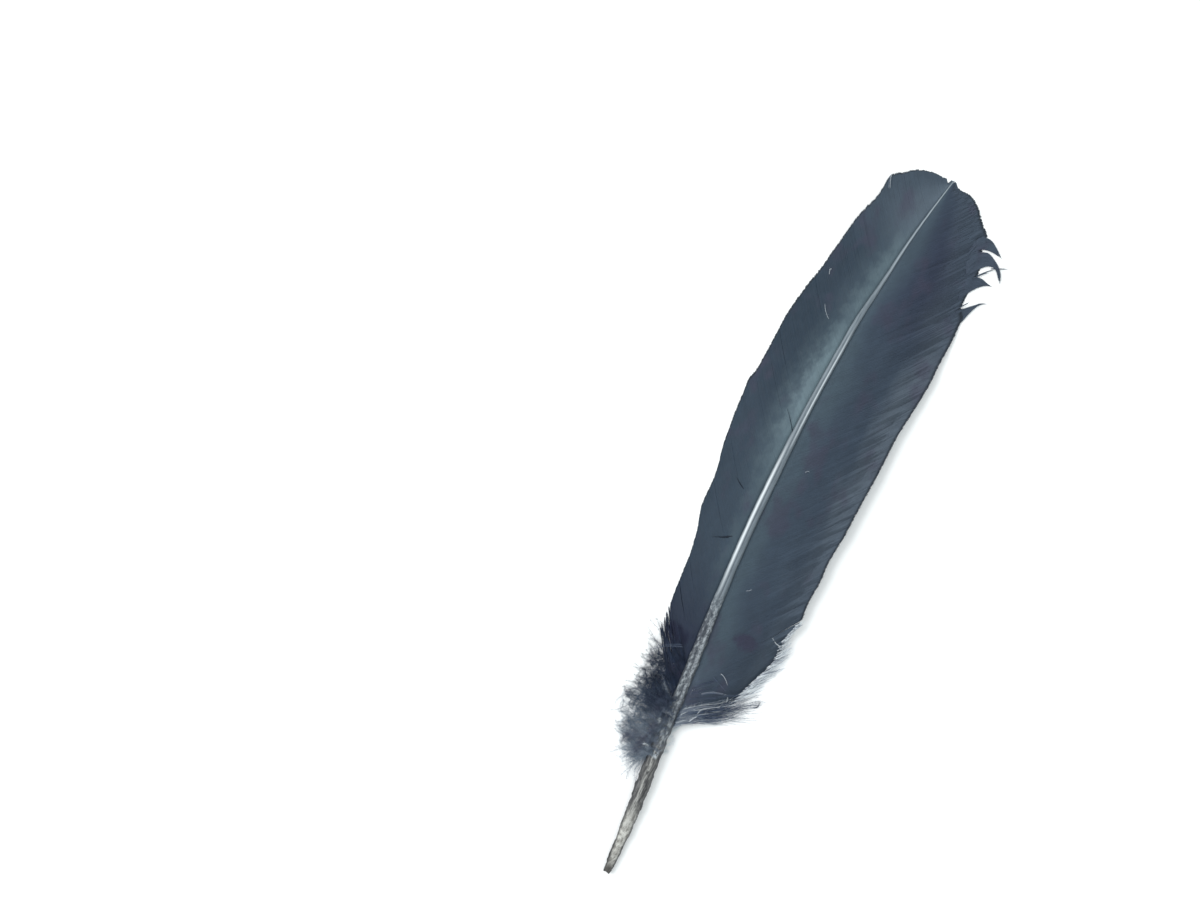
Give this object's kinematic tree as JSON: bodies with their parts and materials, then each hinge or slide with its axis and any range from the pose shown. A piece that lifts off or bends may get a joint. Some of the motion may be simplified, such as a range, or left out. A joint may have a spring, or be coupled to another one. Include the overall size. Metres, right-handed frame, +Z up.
{
  "type": "goose quill feather",
  "caption": "Single wing quill feather lying flat: bare tapering quill, grooved shaft, narrow and wide vane split and ragged near the tip, tuft of down at the base.",
  "frame": {"origin": "middle of the feather's footprint, on the surface it lies on", "axes": "+Y along the feather from the quill end to the vane's tip, +X towards the wide vane, +Z up from the surface"},
  "size_m": [0.0666, 0.28, 0.0079],
  "materials": {
    "vane": "matte",
    "quill": "satin",
    "down": "matte"
  },
  "bodies": {
    "root": {"feather": "vane"}
  },
  "joints": []
}
